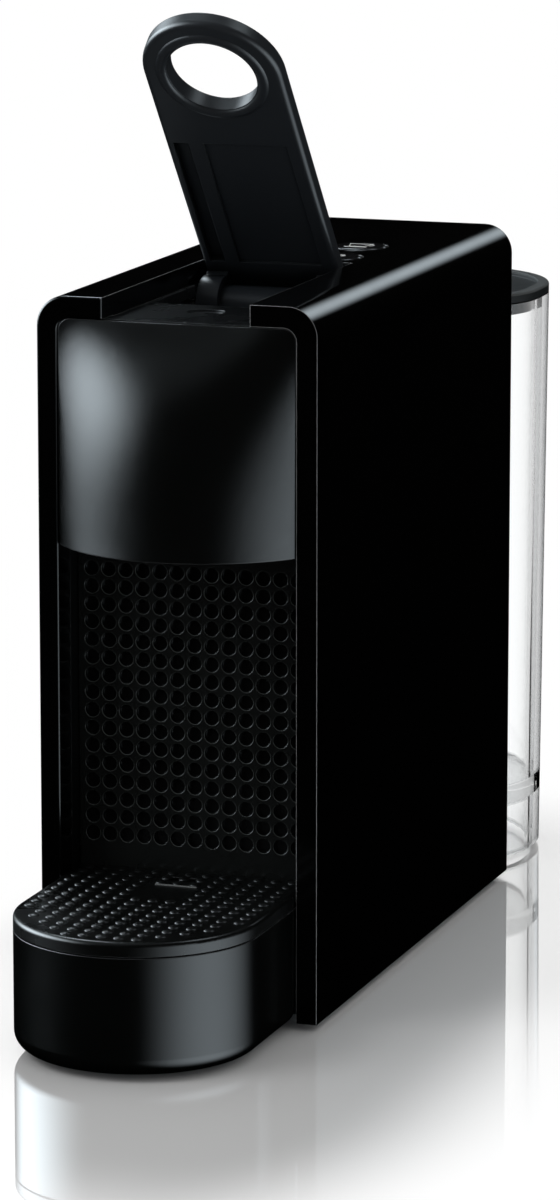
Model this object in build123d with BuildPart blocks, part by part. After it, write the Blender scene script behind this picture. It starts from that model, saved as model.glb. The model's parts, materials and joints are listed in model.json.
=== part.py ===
from build123d import *
from math import atan2, cos, degrees, hypot, radians, sin
import os

# Pod coffee machine with a slim upright body, a lever on top, a drip tray in front and a water tank behind.
# Millimetres. +X is right seen from the front, the front faces -Y, +Z is up.
# The origin is on the surface that it stands on, at the middle of its width and of its depth.
# The lever stands open, as after a capsule has dropped.

# Overall sizes
body_width = 82.0
body_height = 204.0
body_depth = 188.0
tray_reach = 66.0
tank_reach = 76.0

# Clearances
seam = 0.3
slide_gap = 0.4
running = 0.05
swing_gap = 0.5
link_gap = 0.5

# Housing
housing_wall = 3.0
rim_wall = 6.0
rim_depth = 9.0
top_radius = 8.5
edge_round = 0.7
foot_height = 2.0
channel_half = 21.6
channel_length = 90.0
channel_rib = 2.5

# Hood above the cup
hood_height = 63.5
hood_wall = 2.5
hood_bulge = 18.0
hood_brow = 0.6
hood_fullness = 1.7
hood_steps = 3
hood_corner = 3.5

# Capsule slot and deck
deck_wall = 3.0
jaw_depth = 37.0
slot_half = 20.5
dish_length = 11.0
dish_width = 9.0
dish_depth = 0.8
dish_inset = 12.0

# Lever
hinge_depth = 80.2
hinge_drop = 12.0
lever_swing = 50.0
lever_reach = 106.4
lever_half = 20.3
lever_gap = 1.6
lever_tail = 4.0
lever_edge = 1.6
ring_radius = 13.0
bead_radius = 1.8
groove_start = 10.0
groove_end = 59.0
groove_width = 4.6
groove_depth = 2.0
groove_inset = 2.4
recess_left = 9.0
recess_right = 16.0
recess_depth = 0.8
hub_radius = 8.0
hub_half = 20.0
knuckle_width = 6.5
sleeve_radius = 5.5
shaft_radius = 4.0

# Linkage
plate_wall = 2.5
link_wall = 2.5
crank_radius = 12.0
crank_eye = 6.0
crank_pin = 2.5
crank_tip = 4.5
rocker_up = 8.0
rocker_low = 30.0
rocker_pin = 3.0
rocker_eye = 6.0
rocker_tip = 4.5
rocker_cap = 1.5

# Brew unit
brew_drop = 44.0
jaw_gap = 0.8
cage_radius = 20.0
cage_bore = 15.8
cage_floor = 4.0
flange_wall = 10.0
flange_top = 23.0
flange_low = 22.0
ear_depth = 4.0
rod_radius = 2.5
rod_inset = 5.2
rod_rise = 18.0
delivery_wall = 4.0
delivery_half = 18.0
pyramid_size = 2.6
pyramid_pitch = 4.2
pyramid_height = 1.0
pyramid_rows = 6
pyramid_taper = 40.0
front_plate_wall = 6.0
rear_plate_wall = 4.0
rear_plate_depth = 122.0
stem_radius = 4.0
stem_bore = 1.2
stem_length = 38.0
barrel_radius = 7.0
barrel_start = 102.0
barrel_end = 144.0
seal_radius = 5.6
seal_width = 3.0
blade_count = 3
blade_circle = 7.0
blade_radius = 1.5
blade_length = 5.0
blade_taper = 12.0
spout_half = 8.0
spout_reach = 8.0
spout_wall = 2.5
nozzle_radius = 5.0
nozzle_bore = 2.5
nozzle_drop = 4.0

# Cup bay, tray and capsule container
base_wall = 4.0
liner_wall = 3.0
liner_depth = 89.0
ceiling_drop = 2.2
splash_depth = 14.5
splash_wall_thickness = 2.1
dimple_radius = 2.15
dimple_pitch = 5.1
dimple_floor = 48.6
dimple_side = 3.0
dimple_margin = 5.0
dimple_depth = 1.6
tray_wall = 2.5
tray_bottom = 1.6
tray_floor = 7.6
tray_corner = 5.0
sled_wall = 2.6
cup_support_top = 39.4
cup_support_wall = 4.0
cup_support_edge = 1.3
cup_skirt = 3.0
drain_length = 13.0
drain_width = 4.0
drain_inset = 9.0
container_wall = 2.0
container_drop = 4.0
container_back = 86.0

# Water tank
tank_step = 0.5
tank_corner = 38.0
tank_nose = 30.0
tank_drop = 26.8
tank_low = 2.0
tank_floor = 18.4
tank_floor_wall = 6.0
tank_wall = 2.5
tank_rear_draft = 3.0
tank_side_draft = 0.8
tank_gap = 0.6
lid_wall = 2.8
lid_rim = 3.5
lid_recess = 1.5
lid_plug = 4.0
lid_edge = 0.8
dock_half = 13.0
dock_low = 2.0
dock_length = 38.0
dock_corner = 6.0
inlet_bore = 2.0
valve_depth = 22.0
valve_radius = 7.0
valve_bore = 4.0
valve_drop = 8.0
poppet_wall = 1.6
poppet_stem = 2.2
tank_seal_wall = 1.2
tank_seal_width = 2.4
post_radius = 1.6

# Rear cover, base and fasteners
cover_wall = 3.0
screw_radius = 1.4
screw_head = 2.8
head_wall = 1.5
drive_width = 0.8
screw_length = 12.0
boss_size = 7.0
boss_inset = 12.0
vent_count = 7
vent_half = 14.0
vent_width = 2.4
vent_pitch = 6.0
vent_height = 150.0
gland_radius = 5.0
gland_bore = 3.2
gland_edge = 12.0
gland_height = 11.0
gland_reach = 3.0
gland_collar = 1.2
foot_radius = 5.0
foot_pocket = 1.5
foot_edge = 1.0
foot_inset = 20.0

# Buttons and control board
button_radius = 8.0
button_x = 12.5
button_front = 101.5
button_pitch = 24.0
button_proud = 0.3
button_edge = 0.8
button_flange = 1.2
button_flange_wall = 2.0
button_stem = 2.5
button_travel = 1.2
switch_gap = 0.15
switch_size = 6.0
switch_body = 4.0
switch_knob = 1.7
switch_rise = 1.5
board_half = 28.5
board_front = 92.0
board_wall = 1.6
board_drop = 12.0
board_post = 3.0
post_inset = 4.0
relay_size = 14.0
relay_height = 11.0
capacitor_radius = 5.0
capacitor_height = 9.0

# Heater
shelf_height = 66.0
shelf_wall = 3.0
heater_half = 20.0
heater_foot = 5.0
heater_rise = 8.0
heater_edge = 3.0
terminal_radius = 3.0
terminal_length = 9.0
terminal_spacing = 24.0
spacer_radius = 2.4
spacer_inset = 2.5
thermostat_radius = 8.0
thermostat_wall = 5.0
thermostat_drop = 30.0
fuse_radius = 3.0
fuse_length = 22.0
fuse_height = 100.0
hot_pipe_radius = 3.0
hot_pipe_length = 6.0

# Pump and flow meter
pump_x = 9.0
pump_height = 34.0
coil_half = 18.0
coil_inset = 15.0
core_radius = 9.0
pump_inset = 12.0
pump_gap = 7.0
core_bore = 2.0
pump_mount_wall = 5.0
pump_mount_inset = 4.0
pump_mount_radius = 14.0
bracket_half = 20.0
bracket_wall = 2.0
bracket_rim = 4.0
meter_edge = 1.5
meter_depth = 142.0
meter_radius = 10.5
meter_height = 14.0
meter_wall = 1.8
meter_pin = 1.5
impeller_gap = 0.6
impeller_hub = 3.2
impeller_blades = 6
impeller_blade = 1.2
tube_radius = 3.0
tube_bend = 5.5
inlet_turn = 11.0
suction_turn = 6.5
pressure_tube_radius = 2.5
pressure_bend = 4.5
pressure_gap = 5.0
pressure_room = 6.0
pressure_height = 90.0

# Places that follow from the sizes
half_width = body_width / 2
inner_half = half_width - housing_wall
bay_half = half_width - rim_wall
inner_top = body_height - housing_wall
rim_top = body_height - rim_wall
total_depth = tray_reach + body_depth + tank_reach
front_y = tray_reach - total_depth / 2
back_y = front_y + body_depth
behind_rim = front_y + rim_depth + seam
deck_top = rim_top - seam
deck_low = deck_top - deck_wall
hood_bottom = deck_top - hood_height
bay_ceiling = hood_bottom - ceiling_drop
container_top = bay_ceiling - container_drop
tank_half = half_width - tank_step
tank_top = body_height - tank_drop
base_top = foot_height + base_wall
pivot_y = front_y + hinge_depth
pivot_z = body_height - hinge_drop
rocker_z = pivot_z - crank_radius - rocker_up
brew_z = body_height - brew_drop
jaw_y = front_y + jaw_depth
slot_end = pivot_y - crank_eye - swing_gap
cover_y = back_y - cover_wall
rear_plate_y = front_y + rear_plate_depth
plates_end = rear_plate_y + rear_plate_wall
board_y = front_y + board_front
board_back = plates_end + relay_size + post_inset
pressure_y = cover_y - pressure_room
heater_y = front_y + barrel_end + hot_pipe_length
heater_back = pressure_y - pressure_gap

# Layers of the linkage, from the wall of the housing towards the middle
plate_out = inner_half - seam
plate_in = plate_out - plate_wall
crank_out = plate_in - swing_gap
crank_in = crank_out - link_wall
rocker_out = crank_in - swing_gap
rocker_in = rocker_out - link_wall
flange_half = rocker_in - swing_gap
rod_x = flange_half - rod_inset


def rocker_turn(crank_turn):
    """How far the rocker leans, in degrees, when the crank leans by crank_turn degrees."""
    lean = radians(crank_turn)
    return degrees(atan2(crank_radius * sin(lean), crank_radius + rocker_up - crank_radius * cos(lean)))


def pin_distance(crank_turn):
    """How far the crank's pin then stands from the rocker's pivot."""
    lean = radians(crank_turn)
    return hypot(crank_radius * sin(lean), crank_radius + rocker_up - crank_radius * cos(lean))


# The rocker turns by a steady share of the lever's turn, chosen so that the pin strays least in its slot
half_swing = lever_swing / 2
swing_marks = (half_swing / 2, half_swing)
rocker_ratio = sum(pin_distance(turn) * rocker_turn(turn) for turn in swing_marks)
rocker_ratio /= sum(pin_distance(turn) * turn for turn in swing_marks)
rocker_rest = rocker_ratio * half_swing
cage_travel = 2 * rocker_low * sin(radians(rocker_rest))
cage_front = jaw_y + jaw_gap + cage_travel
flange_y = pivot_y + rocker_low * sin(radians(rocker_rest))
cage_back = flange_y + flange_wall / 2

print("rocker ratio", -rocker_ratio)
print("cage travel", cage_travel, "for each radian", cage_travel / radians(lever_swing))
print("lever pivot", pivot_y, pivot_z, "rocker pivot", rocker_z)


def block(x, y, z, mode=Mode.ADD):
    """A box between two values of each axis, given as pairs."""
    with Locations(((x[0] + x[1]) / 2, (y[0] + y[1]) / 2, (z[0] + z[1]) / 2)):
        Box(abs(x[1] - x[0]), abs(y[1] - y[0]), abs(z[1] - z[0]), mode=mode)


def bar_x(x, y, z, radius, mode=Mode.ADD):
    """A round bar along X between a pair of X values."""
    with Locations(((x[0] + x[1]) / 2, y, z)):
        Cylinder(radius, abs(x[1] - x[0]), rotation=(0, 90, 0), mode=mode)


def bar_y(x, y, z, radius, mode=Mode.ADD):
    """A round bar along Y between a pair of Y values."""
    with Locations((x, (y[0] + y[1]) / 2, z)):
        Cylinder(radius, abs(y[1] - y[0]), rotation=(90, 0, 0), mode=mode)


def bar_z(x, y, z, radius, mode=Mode.ADD):
    """A round bar along Z between a pair of Z values."""
    with Locations((x, y, (z[0] + z[1]) / 2)):
        Cylinder(radius, abs(z[1] - z[0]), mode=mode)


def arch(at_y, half, low, high, radius):
    """An upright section across the body, rounded at its two top corners."""
    with BuildSketch(Plane.XZ.offset(-at_y)) as section:
        with Locations((0, (low + high) / 2)):
            Rectangle(2 * half, high - low)
        fillet(section.vertices().group_by(Axis.Y)[-1], radius)
    return section.sketch


def tray_outline(level, inset, back):
    """The tray's plan, straight at the sides and round in front, drawn in from its edge by inset."""
    half = bay_half - slide_gap - inset
    centre = front_y - tray_reach + bay_half - slide_gap
    with BuildSketch(Plane.XY.offset(level)) as plan:
        with BuildLine():
            ThreePointArc((-half, centre), (0, centre - half), (half, centre))
            Polyline((half, centre), (half, back), (-half, back), (-half, centre))
        make_face()
    return plan.sketch


def tank_outline(level, inset, drawn_at=None):
    """The tank's plan at a height: flat against the body, round elsewhere, narrower lower down."""
    share = (tank_top - level) / (tank_top - tank_low)
    half = tank_half - inset - tank_side_draft * share
    front = back_y + tank_gap + inset
    rear = back_y + tank_reach - inset - tank_rear_draft * share
    with BuildSketch(Plane.XY.offset(level if drawn_at is None else drawn_at)) as plan:
        with Locations((0, (front + rear) / 2)):
            Rectangle(2 * half, rear - front)
        fillet(plan.vertices().group_by(Axis.Y)[-1], tank_corner - inset)
        fillet(plan.vertices().group_by(Axis.Y)[0], tank_nose - inset)
    return plan.sketch


def tube(points, radius, bend):
    """A hose of round section along straight runs joined by bends."""
    with BuildPart() as hose:
        with BuildLine():
            route = FilletPolyline(*points, radius=bend)
        with BuildSketch(Plane(origin=route @ 0, z_dir=route % 0)):
            Circle(radius)
        sweep()
    return hose


backward = (0, 1, 0)

# Housing: a sleeve open in front, behind and below, with the lever's channel along its top
button_places = [(button_x, front_y + button_front + row * button_pitch) for row in range(2)]
post_places = [
    (side * (board_half - post_inset), y)
    for side in (-1, 1)
    for y in (board_y + post_inset, board_back - post_inset)
]
screw_places = [
    (side * (inner_half - boss_size / 2), level)
    for side in (-1, 1)
    for level in (base_top + boss_inset, inner_top - boss_inset)
]
with BuildPart() as housing:
    extrude(arch(front_y, half_width, foot_height, body_height, top_radius), amount=body_depth, dir=backward)
    extrude(
        arch(front_y, bay_half, foot_height, rim_top, hood_corner + seam),
        amount=rim_depth,
        dir=backward,
        mode=Mode.SUBTRACT,
    )
    extrude(
        arch(front_y + rim_depth, inner_half, foot_height, inner_top, top_radius - housing_wall),
        amount=body_depth - rim_depth,
        dir=backward,
        mode=Mode.SUBTRACT,
    )
    block(
        (-channel_half, channel_half),
        (front_y, front_y + channel_length),
        (deck_low, body_height),
        mode=Mode.SUBTRACT,
    )
    fillet(housing.faces().sort_by(Axis.Y)[0].edges(), edge_round)
    for side in (-1, 1):
        block(
            (side * channel_half, side * (channel_half + channel_rib)),
            (front_y + rim_depth, front_y + channel_length),
            (deck_top, inner_top),
        )
    for x, y in button_places:
        bar_z(x, y, (inner_top, body_height), button_radius + slide_gap, mode=Mode.SUBTRACT)
    for x, y in post_places:
        bar_z(x, y, (inner_top - board_drop, inner_top), board_post)
    for x, z in screw_places:
        block(
            (x - boss_size / 2, x + boss_size / 2),
            (cover_y - screw_length, cover_y),
            (z - boss_size / 2, z + boss_size / 2),
        )
        bar_y(x, (cover_y - screw_length, cover_y), z, screw_radius, mode=Mode.SUBTRACT)


# Hood: straight at its top edge and swelling forward to its bottom edge, open below and above
def hood_section(level, bulge, inset):
    """The hood's plan at a height, drawn in from its outside by inset."""
    half = bay_half - seam - inset
    face = front_y + seam + inset
    back = front_y + rim_depth + inset
    with BuildSketch(Plane.XY.offset(level)) as plan:
        with BuildLine():
            ThreePointArc((-half, face), (0, face - bulge), (half, face))
            Polyline((half, face), (half, back), (-half, back), (-half, face))
        make_face()
    return plan.sketch


def hood_swell(share):
    """How far the hood stands forward at a share of its height below the top edge."""
    return hood_brow + (hood_bulge - hood_brow) * (1 - (1 - share) ** hood_fullness) ** (1 / hood_fullness)


hood_shares = [step / hood_steps for step in range(hood_steps, -1, -1)]
hood_marks = [(deck_top - share * (deck_top - hood_bottom), hood_swell(share)) for share in hood_shares]
with BuildPart() as front_panel:
    loft([hood_section(level, bulge, 0) for level, bulge in hood_marks])
    hood_arch = arch(front_y + rim_depth, bay_half - seam, hood_bottom, deck_top, hood_corner)
    extrude(hood_arch, amount=rim_depth + 2 * hood_bulge, mode=Mode.INTERSECT)
    loft([hood_section(level, bulge, hood_wall) for level, bulge in hood_marks], mode=Mode.SUBTRACT)

# Deck: the floor of the lever's channel, open where a capsule drops in
with BuildPart() as capsule_deck:
    extrude(
        arch(behind_rim, plate_out, deck_low, inner_top - seam, top_radius - housing_wall),
        amount=slot_end - behind_rim,
        dir=backward,
    )
    block((-plate_out, plate_out), (behind_rim, slot_end), (deck_top, inner_top), mode=Mode.SUBTRACT)
    tongue_half = bay_half - hood_wall - hood_corner
    tongue_y = front_y + hood_wall + 2 * seam
    block((-tongue_half, tongue_half), (tongue_y, behind_rim), (deck_low, deck_top))
    block((-slot_half, slot_half), (jaw_y, slot_end), (deck_low, deck_top), mode=Mode.SUBTRACT)
    with BuildSketch(Plane.XY.offset(deck_top)):
        with Locations((0, jaw_y - dish_inset)):
            SlotOverall(dish_length, dish_width)
    extrude(amount=-dish_depth, mode=Mode.SUBTRACT)

# Lever, built in a plane that lies level when the lever is closed
opening = radians(lever_swing)
lever_plane = Plane(origin=(0, pivot_y, pivot_z), x_dir=(1, 0, 0), z_dir=(0, sin(opening), cos(opening)))
lever_top = hinge_drop
lever_low = hinge_drop - (body_height - deck_top) + lever_gap
ring_y = lever_half - lever_reach
with BuildPart() as lever:
    with BuildSketch(lever_plane.offset(lever_low)):
        with BuildLine():
            ThreePointArc((-lever_half, ring_y), (0, -lever_reach), (lever_half, ring_y))
            tail = ((lever_half, lever_tail), (-lever_half, lever_tail))
            Polyline((lever_half, ring_y), *tail, (-lever_half, ring_y))
        make_face()
        with Locations((0, ring_y)):
            Circle(ring_radius, mode=Mode.SUBTRACT)
    extrude(amount=lever_top - lever_low)
    under_face = lever.faces().filter_by(lever_plane).sort_by(Axis(lever_plane.origin, lever_plane.z_dir))[0]
    fillet(under_face.outer_wire().edges(), lever_edge)
    groove_length = groove_end - groove_start
    groove_x = lever_half - groove_inset - groove_width / 2
    groove_y = -(groove_start + groove_end) / 2
    with BuildSketch(lever_plane.offset(lever_low)):
        with Locations((-groove_x, groove_y)):
            Rectangle(groove_width, groove_length)
    extrude(amount=groove_depth, mode=Mode.SUBTRACT)
    with BuildSketch(lever_plane.offset(lever_low)):
        with Locations(((recess_right - recess_left) / 2, groove_y)):
            Rectangle(recess_left + recess_right, groove_length)
    extrude(amount=recess_depth, mode=Mode.SUBTRACT)
    ring_middle = lever_plane.from_local_coords((0, ring_y, lever_low - lever_gap / 2 + bead_radius))
    with BuildSketch(Plane(origin=ring_middle, x_dir=(1, 0, 0), z_dir=-lever_plane.y_dir)):
        with Locations((ring_radius + bead_radius, 0)):
            Circle(bead_radius)
    revolve(axis=Axis(ring_middle, lever_plane.z_dir))
    bar_x((-hub_half, hub_half), pivot_y, pivot_z, sleeve_radius)
    for side in (-1, 1):
        bar_x((side * (hub_half - knuckle_width), side * hub_half), pivot_y, pivot_z, hub_radius)
    knuckle_x = hub_half - knuckle_width / 2
    web_y = (lever_tail - sleeve_radius) / 2
    with BuildSketch(lever_plane):
        with Locations((-knuckle_x, web_y), (knuckle_x, web_y)):
            Rectangle(knuckle_width, lever_tail + sleeve_radius)
    extrude(amount=lever_low)
    bar_x((-hub_half, hub_half), pivot_y, pivot_z, shaft_radius, mode=Mode.SUBTRACT)

with BuildPart() as lever_shaft:
    bar_x((-plate_out, plate_out), pivot_y, pivot_z, shaft_radius)


def link_plate(at_x, start, start_radius, end, end_radius):
    """A link's flat outline in the YZ plane, round at both ends, with its outer face at X = at_x."""
    with BuildSketch(Plane.YZ.offset(at_x)) as outline:
        with Locations(start):
            Circle(start_radius)
        with Locations(end):
            Circle(end_radius)
        make_hull()
    return outline.sketch


# Cranks: fixed to the ends of the shaft, each with a pin that works a rocker
crank_lean = radians(half_swing)
crank_end = (pivot_y - crank_radius * sin(crank_lean), pivot_z - crank_radius * cos(crank_lean))
with BuildPart() as lever_cranks:
    for side in (-1, 1):
        outline = link_plate(side * crank_out, (pivot_y, pivot_z), crank_eye, crank_end, crank_tip)
        extrude(outline, amount=-side * link_wall)
        bar_x((side * crank_out, side * rocker_in), *crank_end, crank_pin)
        bar_x((side * crank_out, side * crank_in), pivot_y, pivot_z, shaft_radius, mode=Mode.SUBTRACT)

# Rockers: each turns on a fixed pin, follows the crank with its slot and drives the cage with its lower pin
rocker_lean = radians(rocker_rest)


def rocker_point(distance):
    """The point on the rocker's middle line at a distance above its pivot."""
    return (pivot_y - distance * sin(rocker_lean), rocker_z + distance * cos(rocker_lean))


slot_near = pin_distance(0)
slot_far = pin_distance(half_swing)
rocker_end = rocker_point(-rocker_low)
slot_top = slot_far + crank_pin + link_gap + rocker_cap
rocker_start = (pivot_y, rocker_z)
rocker_head = rocker_point(slot_top - rocker_eye)
with BuildPart() as toggle_rockers:
    for side in (-1, 1):
        lower = link_plate(side * rocker_out, rocker_start, rocker_eye, rocker_end, rocker_tip)
        extrude(lower, amount=-side * link_wall)
        upper = link_plate(side * rocker_out, rocker_start, rocker_eye, rocker_head, rocker_eye)
        extrude(upper, amount=-side * link_wall)
        slot = link_plate(
            side * rocker_out,
            rocker_point(slot_near - link_gap),
            crank_pin + link_gap,
            rocker_point(slot_far + link_gap),
            crank_pin + link_gap,
        )
        extrude(slot, amount=-side * link_wall, mode=Mode.SUBTRACT)
        bar_x((side * rocker_out, side * rocker_in), *rocker_start, rocker_pin + running, mode=Mode.SUBTRACT)
        bar_x((side * rocker_out, side * (flange_half - ear_depth + swing_gap)), *rocker_end, crank_pin)

with BuildPart() as rocker_pins:
    for side in (-1, 1):
        bar_x((side * plate_in, side * rocker_in), *rocker_start, rocker_pin)

# Frame of the brew unit: two side plates, a front plate, a rear plate and two guide rods
with BuildPart() as brew_side_plates:
    extrude(
        arch(behind_rim, plate_out, bay_ceiling, inner_top - seam, top_radius - housing_wall),
        amount=plates_end - behind_rim,
        dir=backward,
    )
    block((-plate_in, plate_in), (behind_rim, plates_end), (bay_ceiling, inner_top), mode=Mode.SUBTRACT)
    block((-plate_out, plate_out), (behind_rim, plates_end), (deck_low, inner_top), mode=Mode.SUBTRACT)
    bar_x((-plate_out, plate_out), pivot_y, pivot_z, shaft_radius + running, mode=Mode.SUBTRACT)

front_plate_y = jaw_y - delivery_wall - front_plate_wall
outlet_z = brew_z - delivery_half / 2
with BuildPart() as brew_front_plate:
    block((-plate_in, plate_in), (front_plate_y, jaw_y - delivery_wall), (hood_bottom, deck_low))
    bar_y(0, (front_plate_y, jaw_y - delivery_wall), outlet_z, nozzle_bore, mode=Mode.SUBTRACT)

with BuildPart() as delivery_plate:
    bar_y(0, (jaw_y - delivery_wall, jaw_y - pyramid_height), brew_z, delivery_half)
    with BuildSketch(Plane.XZ.offset(pyramid_height - jaw_y)):
        with Locations((0, brew_z)):
            with GridLocations(pyramid_pitch, pyramid_pitch, pyramid_rows, pyramid_rows):
                Rectangle(pyramid_size, pyramid_size)
    extrude(amount=-pyramid_height, taper=pyramid_taper)
    bar_y(0, (jaw_y - delivery_wall, jaw_y), outlet_z, nozzle_bore, mode=Mode.SUBTRACT)

with BuildPart() as brew_rear_plate:
    block((-plate_in, plate_in), (rear_plate_y, plates_end), (bay_ceiling, brew_z + flange_top))
    bar_y(0, (rear_plate_y, plates_end), brew_z, barrel_radius, mode=Mode.SUBTRACT)

with BuildPart() as guide_rods:
    for side in (-1, 1):
        bar_y(side * rod_x, (jaw_y - delivery_wall, rear_plate_y), brew_z + rod_rise, rod_radius)

# Capsule cage: a cup that slides on the rods, with ears for the rockers' pins
with BuildPart() as capsule_cage:
    bar_y(0, (cage_front, cage_back), brew_z, cage_radius)
    flange = (cage_back - flange_wall, cage_back)
    block((-flange_half, flange_half), flange, (brew_z - flange_low, brew_z + flange_top))
    bar_y(0, (cage_front, cage_back - cage_floor), brew_z, cage_bore, mode=Mode.SUBTRACT)
    bar_y(0, flange, brew_z, stem_radius, mode=Mode.SUBTRACT)
    ear_slot = crank_pin + link_gap
    ear_top = rocker_end[1] + ear_slot
    for side in (-1, 1):
        bar_y(side * rod_x, flange, brew_z + rod_rise, rod_radius + running, mode=Mode.SUBTRACT)
        block(
            (side * (flange_half - ear_depth), side * flange_half),
            (flange_y - ear_slot, flange_y + ear_slot),
            (brew_z - flange_low, ear_top),
            mode=Mode.SUBTRACT,
        )

with BuildPart() as piercing_blades:
    blade_y = cage_back - cage_floor
    with BuildSketch(Plane.XZ.offset(-blade_y)):
        with Locations((0, brew_z)):
            with PolarLocations(blade_circle, blade_count, start_angle=90):
                Circle(blade_radius)
    extrude(amount=blade_length, taper=blade_taper)

with BuildPart() as injection_stem:
    stem_front = cage_back - cage_floor
    bar_y(0, (stem_front, cage_back + stem_length), brew_z, stem_radius)
    bar_y(0, (stem_front, cage_back + stem_length), brew_z, stem_bore, mode=Mode.SUBTRACT)

# Barrel: carries hot water to the sliding stem through a seal
barrel = (front_y + barrel_start, front_y + barrel_end)
seal = (barrel[0] + seal_width / 2, barrel[0] + 3 * seal_width / 2)
barrel_back_wall = barrel_radius - stem_radius
with BuildPart() as injection_barrel:
    bar_y(0, barrel, brew_z, barrel_radius)
    bar_y(0, (barrel[0], barrel[1] - barrel_back_wall), brew_z, stem_radius + running, mode=Mode.SUBTRACT)
    bar_y(0, barrel, brew_z, stem_bore, mode=Mode.SUBTRACT)
    bar_y(0, seal, brew_z, seal_radius, mode=Mode.SUBTRACT)

with BuildPart() as stem_seal:
    bar_y(0, seal, brew_z, seal_radius)
    bar_y(0, seal, brew_z, stem_radius + running, mode=Mode.SUBTRACT)

# Spout: a duct from the front plate to a nozzle under the hood
spout_low = hood_bottom + nozzle_drop
spout_front = front_y - spout_reach
nozzle_y = spout_front + nozzle_radius
spout_top = outlet_z + nozzle_bore + spout_wall
with BuildPart() as coffee_spout:
    block((-spout_half, spout_half), (spout_front, front_plate_y), (spout_low, spout_top))
    bar_z(0, nozzle_y, (hood_bottom, spout_low), nozzle_radius)
    duct_z = (spout_low + spout_wall, outlet_z + nozzle_bore)
    bar_z(0, nozzle_y, (hood_bottom, duct_z[1]), nozzle_bore, mode=Mode.SUBTRACT)
    block((-nozzle_bore, nozzle_bore), (nozzle_y, front_plate_y), duct_z, mode=Mode.SUBTRACT)

# Base, bay liner and shelf
with BuildPart() as base_plate:
    block((-plate_out, plate_out), (behind_rim, cover_y - seam), (foot_height, base_top))
    foot_x = inner_half - foot_edge - foot_radius
    foot_places = [
        (side * foot_x, y)
        for side in (-1, 1)
        for y in (front_y + foot_inset, back_y - foot_inset)
    ]
    for x, y in foot_places:
        bar_z(x, y, (foot_height, foot_height + foot_pocket), foot_radius, mode=Mode.SUBTRACT)

with BuildPart() as rubber_feet:
    for x, y in foot_places:
        bar_z(x, y, (0, foot_height + foot_pocket), foot_radius)

liner_y = front_y + liner_depth
liner_back = liner_y + liner_wall
with BuildPart() as bay_liner:
    for side in (-1, 1):
        block((side * bay_half, side * plate_out), (behind_rim, liner_back), (base_top, bay_ceiling))
    block((-bay_half, bay_half), (liner_y, liner_back), (base_top, bay_ceiling))

with BuildPart() as equipment_shelf:
    block(
        (-plate_out, plate_out),
        (liner_back, cover_y),
        (shelf_height, shelf_height + shelf_wall),
    )
    bar_z(
        pump_x,
        pressure_y,
        (shelf_height, shelf_height + shelf_wall),
        pressure_tube_radius + seam,
        mode=Mode.SUBTRACT,
    )

# Drip tray: a bowl that reaches out in front, and a sled behind it that carries the capsule container
sled_low = base_top + slide_gap
bowl_top = cup_support_top - cup_support_wall - slide_gap
bowl_back = front_y + splash_depth - seam
container_y = front_y + splash_depth + splash_wall_thickness
sled_half = bay_half - slide_gap
with BuildPart() as drip_tray:
    extrude(tray_outline(tray_bottom, 0, front_y - slide_gap), amount=bowl_top - tray_bottom)
    fillet(drip_tray.faces().sort_by(Axis.Z)[0].edges().sort_by(Axis.Y)[:-1], tray_corner)
    block((-sled_half, sled_half), (front_y - slide_gap, bowl_back), (sled_low, bowl_top))
    extrude(
        tray_outline(tray_floor, tray_wall, bowl_back - tray_wall),
        amount=bowl_top - tray_floor,
        mode=Mode.SUBTRACT,
    )
    block((-sled_half, sled_half), (bowl_back, front_y + container_back), (sled_low, sled_low + sled_wall))

with BuildPart() as cup_support:
    plate_low = cup_support_top - cup_support_wall
    extrude(tray_outline(plate_low, 0, bowl_back), amount=cup_support_wall)
    fillet(cup_support.faces().sort_by(Axis.Z)[-1].edges(), cup_support_edge)
    skirt_inset = tray_wall + slide_gap
    extrude(tray_outline(plate_low - cup_skirt, skirt_inset, bowl_back - skirt_inset), amount=cup_skirt)
    ring_inset = skirt_inset + tray_wall
    extrude(
        tray_outline(plate_low - cup_skirt, ring_inset, bowl_back - ring_inset),
        amount=cup_skirt,
        mode=Mode.SUBTRACT,
    )
    with BuildSketch(Plane.XY.offset(plate_low)):
        with Locations((0, bowl_back - drain_inset)):
            SlotOverall(drain_length, drain_width)
    extrude(amount=cup_support_wall, mode=Mode.SUBTRACT)

# Splash wall: the dimpled back of the cup bay
sled_top = sled_low + sled_wall
with BuildPart() as splash_wall:
    block((-sled_half, sled_half), (front_y + splash_depth, container_y), (sled_top, bay_ceiling))
    dimple_columns = 2 * int((sled_half - dimple_side) / dimple_pitch) + 1
    dimple_rows = int((bay_ceiling - dimple_margin - dimple_floor) / dimple_pitch) + 1
    dimple_middle = dimple_floor + dimple_pitch * (dimple_rows - 1) / 2
    with BuildSketch(Plane.XZ.offset(-front_y - splash_depth)):
        with Locations((0, dimple_middle)):
            with GridLocations(dimple_pitch, dimple_pitch, dimple_columns, dimple_rows):
                Circle(dimple_radius)
    extrude(amount=-dimple_depth, mode=Mode.SUBTRACT)

with BuildPart() as capsule_container:
    container = (container_y, front_y + container_back)
    block((-sled_half, sled_half), container, (sled_top, container_top))
    block(
        (container_wall - sled_half, sled_half - container_wall),
        (container[0] + container_wall, container[1] - container_wall),
        (sled_top + container_wall, container_top),
        mode=Mode.SUBTRACT,
    )

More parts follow.
